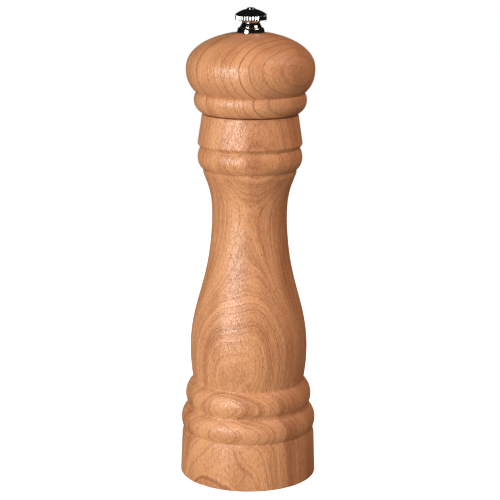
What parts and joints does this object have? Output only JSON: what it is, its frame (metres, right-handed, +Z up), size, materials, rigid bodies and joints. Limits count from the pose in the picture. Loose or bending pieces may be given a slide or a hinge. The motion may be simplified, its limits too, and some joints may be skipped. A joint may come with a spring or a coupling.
{
  "type": "pepper mill",
  "caption": "Turned wooden pepper mill with a turning head, a square drive shaft, steel burrs in the base and a chrome knob on top that sets the grind.",
  "frame": {"origin": "centre of the underside, on the surface the mill stands on", "axes": "+Z up along the mill's axis, from the base to the knob; +X and +Y are square to it, and +Y points away from the viewer"},
  "size_m": [0.0594, 0.0594, 0.2032],
  "materials": {
    "turned_wood": "satin oil over fine turned grain",
    "chrome": "bright chrome plate",
    "burr_steel": "hardened dark steel, machined teeth",
    "zinc_steel": "bright zinc plate",
    "spring_steel": "drawn wire",
    "shaft_aluminium": "drawn bar, lightly brushed"
  },
  "bodies": {
    "body": {"mill_body": "turned_wood", "stator": "burr_steel", "bridge": "zinc_steel", "stator_screw_1": "zinc_steel", "stator_screw_2": "zinc_steel", "stator_screw_3": "zinc_steel"},
    "spring_stack": {"thrust_washer": "zinc_steel", "spring": "spring_steel"},
    "shaft": {"drive_shaft": "shaft_aluminium", "rotor": "burr_steel", "spring_seat": "zinc_steel", "rotor_washer": "zinc_steel", "rotor_nut": "zinc_steel"},
    "head": {"head": "turned_wood", "drive_plate": "shaft_aluminium", "drive_plate_screw_1": "zinc_steel", "drive_plate_screw_2": "zinc_steel", "crown_ferrule": "chrome"},
    "knob": {"adjuster_nut": "chrome", "knob_cap": "chrome", "knob_button": "chrome"}
  },
  "joints": [
    {"name": "head_turn", "type": "hinge", "parent": "body", "child": "spring_stack", "pos_m": [0, 0, 0], "axis": [0, 0, 1], "continuous": true},
    {"name": "burr_lift", "type": "slide", "parent": "spring_stack", "child": "shaft", "axis": [0, 0, 1], "range_m": [0, 0.002], "deforming": ["spring"]},
    {"name": "head_lift", "type": "slide", "parent": "spring_stack", "child": "head", "axis": [0, 0, 1], "range_m": [0, 0.06]},
    {"name": "knob_turn", "type": "hinge", "parent": "head", "child": "knob", "pos_m": [0, 0, 0.1977], "axis": [0, 0, 1], "range_deg": [-900, 0]}
  ],
  "couplings": [
    {"joint": "knob_turn", "follows": "burr_lift", "rad_per_m": -7854}
  ]
}
